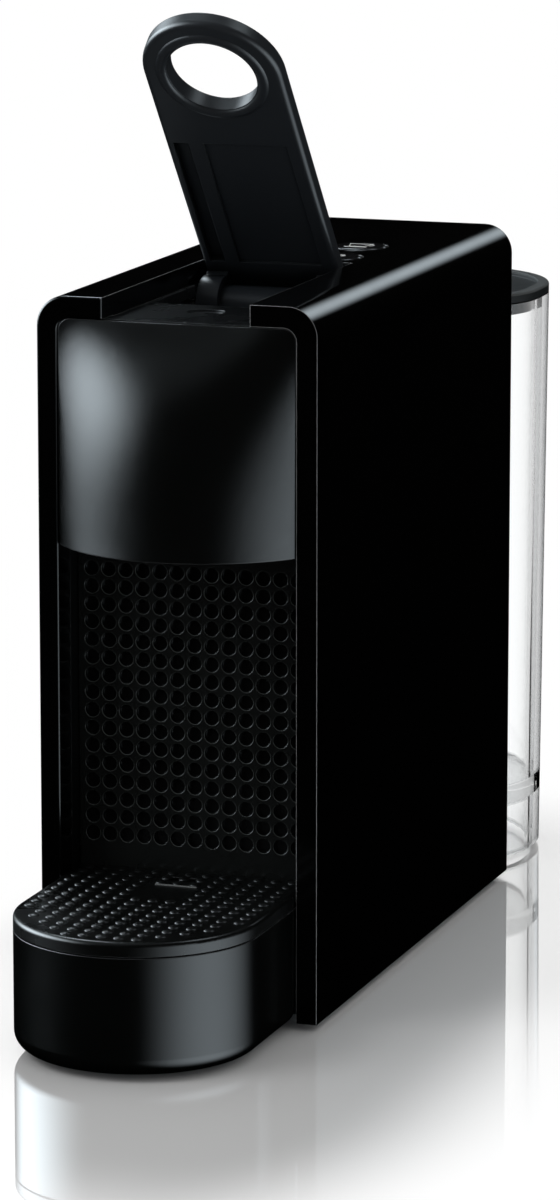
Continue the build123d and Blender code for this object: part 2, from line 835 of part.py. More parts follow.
# Water tank: a clear shell with a raised floor, open below towards the body
valve_y = back_y + valve_depth
floor_top = tank_floor + tank_floor_wall
with BuildPart() as tank:
    loft([tank_outline(tank_low, 0), tank_outline(tank_top, 0)])
    loft([tank_outline(floor_top, tank_wall), tank_outline(tank_top, tank_wall)], mode=Mode.SUBTRACT)
    loft([tank_outline(tank_low, tank_wall), tank_outline(tank_floor, tank_wall)], mode=Mode.SUBTRACT)
    skirt_half = tank_half - tank_side_draft - tank_wall
    block(
        (-skirt_half, skirt_half),
        (back_y, back_y + tank_gap + 2 * tank_wall),
        (tank_low, tank_floor),
        mode=Mode.SUBTRACT,
    )
    bar_z(0, valve_y, (tank_floor, floor_top), valve_radius, mode=Mode.SUBTRACT)

with BuildPart() as tank_lid:
    lid_low = tank_top + slide_gap
    extrude(tank_outline(tank_top, 0, lid_low), amount=lid_wall)
    fillet(tank_lid.faces().sort_by(Axis.Z)[-1].edges(), lid_edge)
    extrude(tank_outline(tank_top, lid_rim, lid_low + lid_wall), amount=-lid_recess, mode=Mode.SUBTRACT)
    extrude(tank_outline(tank_top, tank_wall + slide_gap, lid_low), amount=-lid_plug)
    plug_inside = tank_outline(tank_top, 2 * tank_wall + slide_gap, lid_low - lid_plug)
    extrude(plug_inside, amount=lid_plug, mode=Mode.SUBTRACT)

# Valve under the tank: a nozzle with a seal, and a poppet that a post in the dock pushes open
nozzle_low = tank_floor - valve_drop
nozzle_neck = valve_radius - tank_seal_wall
seal_band = (nozzle_low + seam, nozzle_low + seam + tank_seal_width)
poppet_low = nozzle_low + valve_drop / 2
with BuildPart() as tank_valve:
    bar_z(0, valve_y, (nozzle_low, tank_floor), nozzle_neck)
    bar_z(0, valve_y, (tank_floor, floor_top), valve_radius)
    bar_z(0, valve_y, (nozzle_low, floor_top), valve_bore, mode=Mode.SUBTRACT)

with BuildPart() as tank_seal:
    bar_z(0, valve_y, seal_band, valve_radius)
    bar_z(0, valve_y, seal_band, nozzle_neck, mode=Mode.SUBTRACT)

with BuildPart() as valve_poppet:
    bar_z(0, valve_y, (floor_top + seam, floor_top + seam + poppet_wall), valve_bore + poppet_wall)
    bar_z(0, valve_y, (poppet_low, floor_top + seam), poppet_stem)

# Dock: the spur behind the body that carries the tank, with a socket for its valve
socket_radius = valve_radius + slide_gap
socket_floor = nozzle_low - slide_gap
with BuildPart() as tank_dock:
    block((-dock_half, dock_half), (back_y, back_y + dock_length), (dock_low, tank_floor - slide_gap))
    fillet(tank_dock.faces().sort_by(Axis.Y)[-1].edges().filter_by(Axis.Z), dock_corner)
    bar_z(0, valve_y, (socket_floor, tank_floor), socket_radius, mode=Mode.SUBTRACT)
    bar_z(0, valve_y, (socket_floor, poppet_low - slide_gap), post_radius)
    bar_y(0, (back_y, valve_y - socket_radius / 2), socket_floor, inlet_bore, mode=Mode.SUBTRACT)

# Rear cover with vents, the cover's screws and the gland of the cord
gland_x = inner_half - gland_edge
with BuildPart() as rear_cover:
    cover_arch = arch(cover_y, plate_out, foot_height, inner_top - seam, top_radius - housing_wall)
    extrude(cover_arch, amount=cover_wall, dir=backward)
    with BuildSketch(Plane.XZ.offset(-back_y)):
        with Locations((0, vent_height)):
            with GridLocations(vent_pitch, vent_pitch, 1, vent_count):
                SlotOverall(2 * vent_half, vent_width)
    extrude(amount=cover_wall, mode=Mode.SUBTRACT)
    bar_y(gland_x, (cover_y, back_y), gland_height, gland_radius, mode=Mode.SUBTRACT)
    bar_y(0, (cover_y, back_y), socket_floor, tube_radius, mode=Mode.SUBTRACT)
    for x, z in screw_places:
        bar_y(x, (cover_y, back_y), z, screw_radius + seam, mode=Mode.SUBTRACT)
        bar_y(x, (back_y - head_wall, back_y), z, screw_head + seam, mode=Mode.SUBTRACT)

with BuildPart() as cover_screws:
    for x, z in screw_places:
        bar_y(x, (cover_y - screw_length, back_y - head_wall), z, screw_radius)
        bar_y(x, (back_y - head_wall, back_y), z, screw_head)
        block(
            (x - screw_head, x + screw_head),
            (back_y - head_wall / 2, back_y),
            (z - drive_width / 2, z + drive_width / 2),
            mode=Mode.SUBTRACT,
        )

with BuildPart() as cord_gland:
    bar_y(gland_x, (cover_y, back_y + gland_reach), gland_height, gland_radius)
    bar_y(gland_x, (back_y, back_y + gland_reach / 2), gland_height, gland_radius + gland_collar)
    bar_y(gland_x, (cover_y, back_y + gland_reach), gland_height, gland_bore, mode=Mode.SUBTRACT)

# Control board under the top of the housing, with a switch below each button
board_top = inner_top - board_drop
board_low = board_top - board_wall
switch_top = board_top + switch_body
with BuildPart() as control_board:
    block((-board_half, board_half), (board_y, board_back), (board_low, board_top))

with BuildPart() as button_switches:
    for x, y in button_places:
        reach = switch_size / 2
        block((x - reach, x + reach), (y - reach, y + reach), (board_top, switch_top))
        bar_z(x, y, (switch_top, switch_top + switch_rise), switch_knob)

with BuildPart() as board_components:
    parts_y = plates_end + seam + relay_size / 2
    reach = relay_size / 2
    block((-2 * reach, 0), (parts_y - reach, parts_y + reach), (board_low - relay_height, board_low))
    bar_z(relay_size, parts_y, (board_low - capacitor_height, board_low), capacitor_radius)


def button(x, y):
    """A round push button with a flange that holds it under the housing and a stem over its switch."""
    flange_high = inner_top - seam
    flange_under = flange_high - button_flange_wall
    with BuildPart() as cap:
        bar_z(x, y, (flange_high, body_height + button_proud), button_radius)
        fillet(cap.faces().sort_by(Axis.Z)[-1].edges(), button_edge)
        bar_z(x, y, (flange_under, flange_high), button_radius + button_flange)
        bar_z(x, y, (switch_top + switch_rise + button_travel + switch_gap, flange_under), button_stem)
    return cap


button_small_cup = button(*button_places[0])
button_large_cup = button(*button_places[1])

# Heater on its shelf
shelf_top = shelf_height + shelf_wall
heater_low = shelf_top + heater_foot
heater_high = brew_z + heater_rise
heater_middle = (heater_y + heater_back) / 2
with BuildPart() as thermoblock:
    block((-heater_half, heater_half), (heater_y, heater_back), (heater_low, heater_high))
    fillet(thermoblock.edges().filter_by(Axis.Z), heater_edge)
    for side in (-1, 1):
        x = side * terminal_spacing / 2
        bar_z(x, heater_middle, (heater_high, heater_high + terminal_length), terminal_radius)

with BuildPart() as thermoblock_spacers:
    with BuildSketch(Plane.XY.offset(shelf_top)):
        with Locations((0, heater_middle)):
            spacer_span = heater_back - heater_y - 2 * spacer_inset
            with GridLocations(2 * (heater_half - spacer_inset), spacer_span, 2, 2):
                Circle(spacer_radius)
    extrude(amount=heater_low - shelf_top)

with BuildPart() as thermostat:
    bar_y(0, (heater_y - thermostat_wall, heater_y), brew_z - thermostat_drop, thermostat_radius)

with BuildPart() as thermal_fuse:
    fuse_x = heater_half + fuse_radius
    bar_z(fuse_x, heater_middle, (fuse_height - fuse_length / 2, fuse_height + fuse_length / 2), fuse_radius)

with BuildPart() as hot_pipe:
    bar_y(0, (barrel[1], heater_y), brew_z, hot_pipe_radius)
    bar_y(0, (barrel[1], heater_y), brew_z, stem_bore, mode=Mode.SUBTRACT)

# Pump: a coil round a core, hung in two rubber mounts on a bracket
core = (liner_back + pump_inset, pressure_y - pump_gap)
mount_bands = (
    (core[0] + pump_mount_inset, core[0] + pump_mount_inset + pump_mount_wall),
    (core[1] - pump_mount_inset - pump_mount_wall, core[1] - pump_mount_inset),
)
coil = (core[0] + coil_inset, core[1] - coil_inset)
with BuildPart() as pump_core:
    bar_y(pump_x, core, pump_height, core_radius)
    bar_y(pump_x, core, pump_height, core_bore, mode=Mode.SUBTRACT)

with BuildPart() as pump_coil:
    block((pump_x - coil_half, pump_x + coil_half), coil, (pump_height - coil_half, pump_height + coil_half))
    fillet(pump_coil.edges().filter_by(Axis.Y), heater_edge)
    bar_y(pump_x, coil, pump_height, core_radius, mode=Mode.SUBTRACT)

with BuildPart() as pump_mounts:
    for band in mount_bands:
        bar_y(pump_x, band, pump_height, pump_mount_radius)
        bar_y(pump_x, band, pump_height, core_radius, mode=Mode.SUBTRACT)

with BuildPart() as pump_bracket:
    bracket_x = (pump_x - bracket_half, pump_x + bracket_half)
    bracket_top = pump_height + pump_mount_radius + bracket_rim
    block(bracket_x, (mount_bands[0][0], mount_bands[1][1]), (base_top, base_top + bracket_wall))
    for band in mount_bands:
        block(bracket_x, band, (base_top, bracket_top))
        bar_y(pump_x, band, pump_height, pump_mount_radius, mode=Mode.SUBTRACT)

# Flow meter: an impeller on a pin in a round body
meter_x = meter_radius + meter_edge - inner_half
meter_y = front_y + meter_depth
meter_top = base_top + meter_height
meter_inside = (base_top + meter_wall, meter_top)
with BuildPart() as flowmeter_body:
    bar_z(meter_x, meter_y, (base_top, meter_top), meter_radius)
    bar_z(meter_x, meter_y, meter_inside, meter_radius - meter_wall, mode=Mode.SUBTRACT)
    bar_z(meter_x, meter_y, (base_top, meter_top - meter_wall), meter_pin)

with BuildPart() as flowmeter_cap:
    bar_z(meter_x, meter_y, (meter_top, meter_top + meter_wall), meter_radius)

with BuildPart() as flowmeter_impeller:
    wheel = (meter_inside[0] + impeller_gap, meter_inside[1] - meter_wall - impeller_gap)
    bar_z(meter_x, meter_y, wheel, impeller_hub)
    blade_tip = meter_radius - meter_wall - impeller_gap
    with BuildSketch(Plane.XY.offset(wheel[0])):
        with Locations((meter_x, meter_y)):
            with PolarLocations(blade_tip / 2, impeller_blades):
                Rectangle(blade_tip, impeller_blade)
    extrude(amount=wheel[1] - wheel[0])
    bar_z(meter_x, meter_y, wheel, meter_pin + running, mode=Mode.SUBTRACT)

# Hoses: dock to flow meter, flow meter to pump, pump to heater
meter_port = (meter_y - meter_radius, meter_y + meter_radius)
inlet_y = back_y - inlet_turn
inlet_tube = tube(
    (
        (0, back_y, socket_floor),
        (0, inlet_y, socket_floor),
        (meter_x, inlet_y, socket_floor),
        (meter_x, meter_port[1], socket_floor),
    ),
    tube_radius,
    tube_bend,
)
suction_y = core[0] - suction_turn
suction_tube = tube(
    (
        (meter_x, meter_port[0], socket_floor),
        (meter_x, suction_y, socket_floor),
        (pump_x, suction_y, pump_height),
        (pump_x, core[0], pump_height),
    ),
    tube_radius,
    tube_bend,
)
pressure_tube = tube(
    (
        (pump_x, core[1], pump_height),
        (pump_x, pressure_y, pump_height),
        (pump_x, pressure_y, pressure_height),
        (pump_x, heater_back, pressure_height),
    ),
    pressure_tube_radius,
    pressure_bend,
)

# Each piece is written to a file of its own
pieces = {
    "housing": housing,
    "front_panel": front_panel,
    "capsule_deck": capsule_deck,
    "bay_liner": bay_liner,
    "base_plate": base_plate,
    "rubber_feet": rubber_feet,
    "rear_cover": rear_cover,
    "cover_screws": cover_screws,
    "cord_gland": cord_gland,
    "equipment_shelf": equipment_shelf,
    "lever": lever,
    "lever_shaft": lever_shaft,
    "lever_cranks": lever_cranks,
    "toggle_rockers": toggle_rockers,
    "rocker_pins": rocker_pins,
    "brew_side_plates": brew_side_plates,
    "brew_front_plate": brew_front_plate,
    "delivery_plate": delivery_plate,
    "brew_rear_plate": brew_rear_plate,
    "guide_rods": guide_rods,
    "capsule_cage": capsule_cage,
    "piercing_blades": piercing_blades,
    "injection_stem": injection_stem,
    "injection_barrel": injection_barrel,
    "stem_seal": stem_seal,
    "coffee_spout": coffee_spout,
    "drip_tray": drip_tray,
    "cup_support": cup_support,
    "splash_wall": splash_wall,
    "capsule_container": capsule_container,
    "tank": tank,
    "tank_lid": tank_lid,
    "tank_valve": tank_valve,
    "tank_seal": tank_seal,
    "valve_poppet": valve_poppet,
    "tank_dock": tank_dock,
    "button_small_cup": button_small_cup,
    "button_large_cup": button_large_cup,
    "control_board": control_board,
    "button_switches": button_switches,
    "board_components": board_components,
    "thermoblock": thermoblock,
    "thermoblock_spacers": thermoblock_spacers,
    "thermostat": thermostat,
    "thermal_fuse": thermal_fuse,
    "hot_pipe": hot_pipe,
    "pump_core": pump_core,
    "pump_coil": pump_coil,
    "pump_mounts": pump_mounts,
    "pump_bracket": pump_bracket,
    "flowmeter_body": flowmeter_body,
    "flowmeter_cap": flowmeter_cap,
    "flowmeter_impeller": flowmeter_impeller,
    "inlet_tube": inlet_tube,
    "suction_tube": suction_tube,
    "pressure_tube": pressure_tube,
}
os.makedirs("parts", exist_ok=True)
for name, piece in pieces.items():
    piece.part.label = name
    export_step(piece.part, f"parts/{name}.step")
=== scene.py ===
"""Looks of a slim pod coffee machine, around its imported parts: finishes, small details, studio and camera."""

import json
import math

import bmesh
import bpy
from mathutils import Matrix, Vector


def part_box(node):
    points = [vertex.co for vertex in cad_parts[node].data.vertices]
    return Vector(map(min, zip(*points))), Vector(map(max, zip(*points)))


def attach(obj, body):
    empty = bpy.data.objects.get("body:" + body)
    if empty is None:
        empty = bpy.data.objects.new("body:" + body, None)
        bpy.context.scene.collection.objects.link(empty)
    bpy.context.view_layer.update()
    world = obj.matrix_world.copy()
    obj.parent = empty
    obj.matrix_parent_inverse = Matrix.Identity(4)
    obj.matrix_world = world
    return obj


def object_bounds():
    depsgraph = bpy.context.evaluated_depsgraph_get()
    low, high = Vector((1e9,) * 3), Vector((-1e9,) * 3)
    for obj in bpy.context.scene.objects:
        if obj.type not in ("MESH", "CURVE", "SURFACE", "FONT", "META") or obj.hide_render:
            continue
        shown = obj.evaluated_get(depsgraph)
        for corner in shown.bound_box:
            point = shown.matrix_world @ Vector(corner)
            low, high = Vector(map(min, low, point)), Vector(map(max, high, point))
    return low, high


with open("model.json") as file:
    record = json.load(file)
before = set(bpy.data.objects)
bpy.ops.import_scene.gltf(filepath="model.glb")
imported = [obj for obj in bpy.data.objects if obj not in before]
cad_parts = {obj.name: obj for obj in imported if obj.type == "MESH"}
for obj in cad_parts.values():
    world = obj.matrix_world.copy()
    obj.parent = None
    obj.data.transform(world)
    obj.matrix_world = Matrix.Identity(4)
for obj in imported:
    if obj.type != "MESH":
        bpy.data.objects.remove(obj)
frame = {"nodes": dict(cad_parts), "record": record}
cad_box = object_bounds()
MM = 0.001

# Camera, fitted to the edges of the body in the photo
CAMERA_TARGET = Vector((-3.7, 1.0, 101.4)) * MM
CAMERA_DISTANCE = 1585.0 * MM
CAMERA_YAW = 18.77
CAMERA_PITCH = 11.28
CAMERA_LENS = 161.0
CAMERA_SENSOR = 36.0
CAMERA_CLIP = 50.0

# Raised bumps of the cup support, its bare drain place and the lip behind that
BUMP_PITCH = 5.1 * MM
BUMP_SIZE = Vector((1.65, 1.65, 0.65)) * MM
BUMP_EDGE = 3.4 * MM
BUMP_SINK = 0.1 * MM
BUMP_SEGMENTS = 14
BUMP_RINGS = 8
DRAIN_HALF = Vector((9.0, 6.9)) * MM
DRAIN_INSET = 23.5 * MM
LIP_HALF = 6.2 * MM
LIP_SHIFT = 0.4 * MM
LIP_RADIUS = 0.35 * MM
LIP_SEGMENTS = 16

# Cup marks of the buttons: each cup's width and height, its stroke and its place on the button
MARKS = {
    "button_small_cup": (5.6 * MM, 3.6 * MM),
    "button_large_cup": (7.0 * MM, 5.4 * MM),
}
MARK_STROKE = 0.32 * MM
MARK_PROUD = 0.08 * MM
MARK_SHIFT = Vector((-0.4, 0.6)) * MM
MARK_ROUNDNESS = 2
# The cup's foot as a share of its half-width, its handle by shares of its size, its saucer's drop in strokes
CUP_TAPER = 0.62
HANDLE_PLACE = (0.86, 0.1)
HANDLE_RADIUS = 0.26
HANDLE_TURN = (100.0, -80.0)
HANDLE_STEPS = 16
SAUCER_DROP = 3.2

# Noise: the middle of its range, which holds most of it, and spots per metre of each kind of unevenness
NOISE_RANGE = (0.3, 0.7)
NOISE_DETAIL = 3.0
SHADE_SCALE = 22.0
POLISH_SCALE = 60.0
# Spots per metre of the unevenness along the painted edge highlight
EDGE_HIGHLIGHT_SCALE = 120.0
BRUSH_SCALE = 900.0
RIPPLE_SCALE = 35.0
BOARD_SCALE = 80.0

# Moulded edges, and how far their rounded normal leans, as cosines, from no painted edge highlight to a full
# one
EDGE = 0.35 * MM
METAL_EDGE = 0.2 * MM
EDGE_SAMPLES = 6
EDGE_HIGHLIGHT_LEAN = (0.985, 0.80)
# How unevenly the painted edge highlight spreads along an edge
EDGE_HIGHLIGHT_SPREAD = (0.6, 1.0)
# Painted shade in grooves: its reach, and the openness at which it starts and is full
RECESS_REACH = 7.0 * MM
RECESS_OPENNESS = (0.85, 0.35)
RECESS_SAMPLES = 8

# Dimples of the splash wall, as in the part: their grid, then the highlight painted on their rims and the
# depths at which the shade painted within them starts and is full, then the colours of that highlight and that
# shade
DIMPLE_PITCH = 5.1 * MM
DIMPLE_RADIUS = 2.15 * MM
DIMPLE_FLOOR = 48.6 * MM
DIMPLE_ROWS = 16
DIMPLE_RIM = 0.22 * MM
DIMPLE_SHADE = (0.05 * MM, 0.40 * MM)
DIMPLE_HIGHLIGHT_COLOUR = (0.036, 0.041, 0.039)
DIMPLE_PAINTED_SHADE_COLOUR = (0.0002, 0.0002, 0.0002)

# Tank: heights of its thick floor and of its bottom edge, then its clear tints
TANK_FLOOR = (18.4 * MM, 24.4 * MM)
TANK_FOOT = 3.0 * MM
BAND_EDGE = 0.2 * MM
CLEAR_TINT = (0.985, 0.99, 0.99)
CLEAR_EDGE_TINT = (0.38, 0.39, 0.40)
CLEAR_THICK_TINT = (0.58, 0.59, 0.59)
CLEAR_ROUGHNESS = 0.02
CLEAR_IOR = 1.38
RIPPLE_DEPTH = 0.003 * MM
# Share of edge-on view at which clear plastic starts to turn grey and has turned grey
EDGE_ON = (0.50, 0.90)
# Height of the rim of the lid, on which a pale highlight is painted
LID_RIM = 0.7 * MM
LID_RIM_HIGHLIGHT_COLOUR = (0.040, 0.042, 0.042)

# Circuit board: its tracks per metre, their width and its greens
TRACK_SCALE = 180.0
TRACK_WIDTH = 0.03
TRACK_COLOUR = (0.060, 0.240, 0.110, 1.0)
BOARD_COLOURS = ((0.010, 0.090, 0.035, 1.0), (0.012, 0.105, 0.040, 1.0))
BOARD_ROUGHNESS = (0.3, 0.45)

# Floor, in metres: how far past the machine its mirror fades out and it turns plain white.
# A weight makes that distance count for more on one side.
FLOOR_HALF = 6.0
FLOOR_COLOUR = (0.94, 0.94, 0.94, 1.0)
FLOOR_MIRROR = 0.60
FLOOR_FADE = (0.055, 0.19)
FLOOR_CLEAR = (0.065, 0.25)
FLOOR_RIGHT_WEIGHT = 2.0
FLOOR_LEFT_WEIGHT = 6.0
FLOOR_LEFT_MARGIN = 0.015
FLOOR_FRONT_WEIGHT = 1.0
FLOOR_BACK_WEIGHT = 1.5
FLOOR_BACK_START = 0.06

# What satin and gloss surfaces mirror: soft panes of light in a dark studio, each by the azimuth (from the
# front towards the right) and elevation of its middle, its half-width and half-height, all in degrees, and
# its strength
PANES = {
    "behind": ((173.0, 20.0), (16.0, 9.0), 2.1),
    "left": ((-85.0, 19.0), (58.0, 32.0), 14.5),
    "right": ((84.0, -28.0), (68.0, 42.0), 3.5),
    "right_high": ((120.0, 60.0), (34.0, 16.0), 4.5),
    "left_high": ((-148.0, 53.0), (30.0, 15.0), 14.0),
    "front": ((-20.0, 44.0), (42.0, 18.0), 0.2),
    "overhead": ((-30.0, 84.0), (180.0, 40.0), 0.35),
}
PANE_COLOUR = (0.82, 0.93, 1.0)
# Share of a pane's half-width that has its full strength
PANE_CORE = 0.08
# Even fill for matte surfaces, and the white of the background
AMBIENT = (1.0, 1.0, 1.0, 1.0)
WHITE = (1.0, 1.0, 1.0)

# Key lamp
KEY_PLACE = Vector((-0.9, -0.9, 1.3))
KEY_SIZE = 0.8
KEY_WATTS = 9.0

# Plastics, each by the two shades that it drifts between, its range of roughness, its grain per metre and how
# deep that is. Some also have a pale highlight painted on their edges, a shade painted in their recesses or a
# lower gloss.
# Pale shade painted on the edges of the dark satin plastics as a highlight
DARK_EDGE_HIGHLIGHT = (0.05, 0.052, 0.055)
PLASTICS = {
    # The pale edges of the gloss black are a painted highlight
    "gloss_black": dict(
        dark=(0.0002, 0.0002, 0.0002), light=(0.0004, 0.0004, 0.0004), rough=(0.10, 0.14),
        grain=300.0, depth=0.002 * MM, edge_highlight=(0.30, 0.305, 0.31),
    ),
    "satin_charcoal": dict(
        dark=(0.0005, 0.0007, 0.0006), light=(0.0009, 0.0011, 0.0010), rough=(0.21, 0.25),
        grain=2400.0, depth=0.008 * MM, edge_highlight=DARK_EDGE_HIGHLIGHT,
    ),
    "bowl_black": dict(
        dark=(0.0005, 0.0007, 0.0006), light=(0.0009, 0.0011, 0.0010), rough=(0.18, 0.22),
        grain=2400.0, depth=0.004 * MM, edge_highlight=DARK_EDGE_HIGHLIGHT,
    ),
    "cup_black": dict(
        dark=(0.0005, 0.0007, 0.0006), light=(0.0010, 0.0012, 0.0011), rough=(0.25, 0.31),
        grain=2400.0, depth=0.006 * MM, edge_highlight=DARK_EDGE_HIGHLIGHT,
    ),
    "bump_black": dict(
        dark=(0.0005, 0.0007, 0.0006), light=(0.0010, 0.0012, 0.0011), rough=(0.36, 0.42),
        grain=2400.0, depth=0.006 * MM,
    ),
    "dimpled_black": dict(
        dark=(0.0022, 0.0026, 0.0024), light=(0.0030, 0.0035, 0.0033), rough=(0.24, 0.30),
        grain=2400.0, depth=0.008 * MM,
    ),
    # The lever's dark grooves are painted shade
    "lever_grey": dict(
        dark=(0.0070, 0.0086, 0.0105), light=(0.0100, 0.0118, 0.0140), rough=(0.30, 0.36),
        grain=2400.0, depth=0.012 * MM, recess_shade=(0.0008, 0.0012, 0.0014),
    ),
    "deck_grey": dict(
        dark=(0.0022, 0.0028, 0.0034), light=(0.0036, 0.0044, 0.0050), rough=(0.25, 0.30),
        grain=2400.0, depth=0.015 * MM, edge_highlight=(0.05, 0.055, 0.06),
    ),
    "matte_black": dict(
        dark=(0.0007, 0.0009, 0.0008), light=(0.0012, 0.0014, 0.0013), rough=(0.46, 0.54),
        grain=2400.0, depth=0.010 * MM, specular=0.15,
    ),
    "lid_grey": dict(
        dark=(0.0030, 0.0034, 0.0034), light=(0.0050, 0.0056, 0.0056), rough=(0.45, 0.52),
        grain=1800.0, depth=0.006 * MM, specular=0.15,
    ),
    "button_black": dict(
        dark=(0.004, 0.004, 0.004), light=(0.006, 0.006, 0.007), rough=(0.12, 0.17),
        grain=300.0, depth=0.002 * MM,
    ),
    "mark_white": dict(
        dark=(0.40, 0.40, 0.39), light=(0.46, 0.46, 0.45), rough=(0.4, 0.5), grain=1600.0, depth=0.004 * MM,
    ),
    # The drain lip's pale grey is a painted highlight
    "lip_highlight_grey": dict(
        dark=(0.06, 0.065, 0.065), light=(0.08, 0.085, 0.085), rough=(0.30, 0.36),
        grain=1600.0, depth=0.004 * MM,
    ),
    "black_rubber": dict(
        dark=(0.010, 0.010, 0.010), light=(0.016, 0.016, 0.016), rough=(0.65, 0.80),
        grain=900.0, depth=0.03 * MM,
    ),
    "clear_hose": dict(
        dark=(0.55, 0.54, 0.50), light=(0.66, 0.65, 0.61), rough=(0.35, 0.45), grain=600.0, depth=0.01 * MM,
    ),
    "seal_red": dict(
        dark=(0.30, 0.04, 0.02), light=(0.38, 0.06, 0.03), rough=(0.5, 0.6), grain=900.0, depth=0.02 * MM,
    ),
    "brew_grey": dict(
        dark=(0.040, 0.040, 0.043), light=(0.055, 0.055, 0.058), rough=(0.45, 0.55),
        grain=1600.0, depth=0.02 * MM,
    ),
    "white_plastic": dict(
        dark=(0.58, 0.57, 0.53), light=(0.68, 0.67, 0.63), rough=(0.38, 0.48), grain=1600.0, depth=0.01 * MM,
    ),
    "impeller_blue": dict(
        dark=(0.010, 0.045, 0.160), light=(0.015, 0.060, 0.210), rough=(0.35, 0.45),
        grain=1600.0, depth=0.01 * MM,
    ),
    "coil_black": dict(
        dark=(0.010, 0.010, 0.011), light=(0.016, 0.016, 0.018), rough=(0.35, 0.45),
        grain=1200.0, depth=0.02 * MM,
    ),
    "component_black": dict(
        dark=(0.010, 0.010, 0.011), light=(0.016, 0.016, 0.018), rough=(0.4, 0.5),
        grain=1600.0, depth=0.01 * MM,
    ),
}

# Metals, each by its two shades, its range of roughness and the stretch of its brushing
ALONG_X = (0.02, 1.0, 1.0)
ALONG_Y = (1.0, 0.02, 1.0)
EVEN = (1.0, 1.0, 1.0)
BRUSH_DEPTH = 0.004 * MM
METALS = {
    "steel": dict(
        dark=(0.50, 0.50, 0.51), light=(0.66, 0.66, 0.67), rough=(0.18, 0.30), brushing=ALONG_Y,
    ),
    "pressed_steel": dict(
        dark=(0.40, 0.40, 0.41), light=(0.56, 0.56, 0.58), rough=(0.28, 0.42), brushing=ALONG_Y,
    ),
    "cast_aluminium": dict(
        dark=(0.48, 0.48, 0.49), light=(0.62, 0.62, 0.63), rough=(0.45, 0.60), brushing=EVEN, depth=0.05 * MM,
    ),
    "copper": dict(
        dark=(0.58, 0.26, 0.14), light=(0.70, 0.36, 0.20), rough=(0.22, 0.35), brushing=ALONG_Y,
    ),
    "brass": dict(
        dark=(0.58, 0.42, 0.17), light=(0.70, 0.53, 0.25), rough=(0.22, 0.35), brushing=ALONG_X,
    ),
}

# Nodes whose finish differs from that of their slot
OWN_FINISHES = {
    "splash_wall": "dimpled_black",
    "cup_support": "cup_black",
    "drip_tray": "bowl_black",
}


# Shader helpers

def new_material(name):
    """A node material with only a Principled shader and its output."""
    material = bpy.data.materials.new(name)
    material.use_nodes = True
    return material, material.node_tree, material.node_tree.nodes["Principled BSDF"]


def node(tree, kind, inputs=None, **settings):
    """A node with its settings and unlinked inputs."""
    made = tree.nodes.new(kind)
    for key, value in settings.items():
        setattr(made, key, value)
    for key, value in (inputs or {}).items():
        made.inputs[key].default_value = value
    return made


def link(tree, source, target):
    """Joins an output to an input."""
    tree.links.new(source, target)


def math_node(tree, operation, *values):
    """Arithmetic on outputs or numbers."""
    made = node(tree, "ShaderNodeMath", operation=operation)
    for socket, value in zip(made.inputs, values):
        if isinstance(value, (int, float)):
            socket.default_value = value
        else:
            link(tree, value, socket)
    return made.outputs["Value"]


def either(tree, *values):
    """The largest of some outputs."""
    largest = values[0]
    for value in values[1:]:
        largest = math_node(tree, "MAXIMUM", largest, value)
    return largest


def together(tree, *values):
    """The product of some outputs, which for masks is where all of them hold."""
    product = values[0]
    for value in values[1:]:
        product = math_node(tree, "MULTIPLY", product, value)
    return product


def length(tree, across, up):
    """The length of two measures at right angles."""
    squares = [math_node(tree, "POWER", value, 2.0) for value in (across, up)]
    return math_node(tree, "SQRT", math_node(tree, "ADD", *squares))


def eased(tree, value, low, high, top=1.0):
    """A smooth rise from 0 at low to top at high."""
    ranged = node(tree, "ShaderNodeMapRange", {"From Min": low, "From Max": high, "To Max": top})
    ranged.interpolation_type = "SMOOTHSTEP"
    link(tree, value, ranged.inputs["Value"])
    return ranged.outputs["Result"]


def noise(tree, scale, stretch=None):
    """Noise in the object's own metres, stretched where a surface has a direction."""
    place = node(tree, "ShaderNodeTexCoord").outputs["Object"]
    if stretch:
        mapping = node(tree, "ShaderNodeMapping", {"Scale": stretch})
        link(tree, place, mapping.inputs["Vector"])
        place = mapping.outputs["Vector"]
    texture = node(tree, "ShaderNodeTexNoise", {"Scale": scale, "Detail": NOISE_DETAIL})
    link(tree, place, texture.inputs["Vector"])
    return texture.outputs["Fac"]


def spread(tree, source, low, high):
    """Noise spread between low and high."""
    ranged = node(tree, "ShaderNodeMapRange", {"To Min": low, "To Max": high})
    ranged.inputs["From Min"].default_value, ranged.inputs["From Max"].default_value = NOISE_RANGE
    link(tree, source, ranged.inputs["Value"])
    return ranged.outputs["Result"]


def shaded(tree, source, dark, light):
    """A colour between two shades, by a factor."""
    ramp = node(tree, "ShaderNodeMix", data_type="RGBA")
    ramp.inputs["A"].default_value = (*dark, 1.0)
    ramp.inputs["B"].default_value = (*light, 1.0)
    link(tree, source, ramp.inputs["Factor"])
    return ramp.outputs["Result"]


def blended(tree, factor, base, other):
    """A colour that turns into another by a factor."""
    mixed = node(tree, "ShaderNodeMix", data_type="RGBA")
    mixed.inputs["B"].default_value = (*other, 1.0)
    link(tree, base, mixed.inputs["A"])
    link(tree, factor, mixed.inputs["Factor"])
    return mixed.outputs["Result"]


def recolour(material, mask, colour):
    """Turns a material's colour into another where a mask says so."""
    tree = material.node_tree
    base = tree.nodes["Principled BSDF"].inputs["Base Color"]
    link(tree, blended(tree, mask, base.links[0].from_socket, colour), base)


def own_place(tree):
    """The three coordinates of a point in the object's own frame."""
    place = node(tree, "ShaderNodeSeparateXYZ")
    link(tree, node(tree, "ShaderNodeTexCoord").outputs["Object"], place.inputs["Vector"])
    return place.outputs


def rounded_normal(tree, radius):
    """Softens sharp edges in the shading, as a moulded edge does."""
    return node(tree, "ShaderNodeBevel", {"Radius": radius}, samples=EDGE_SAMPLES).outputs["Normal"]


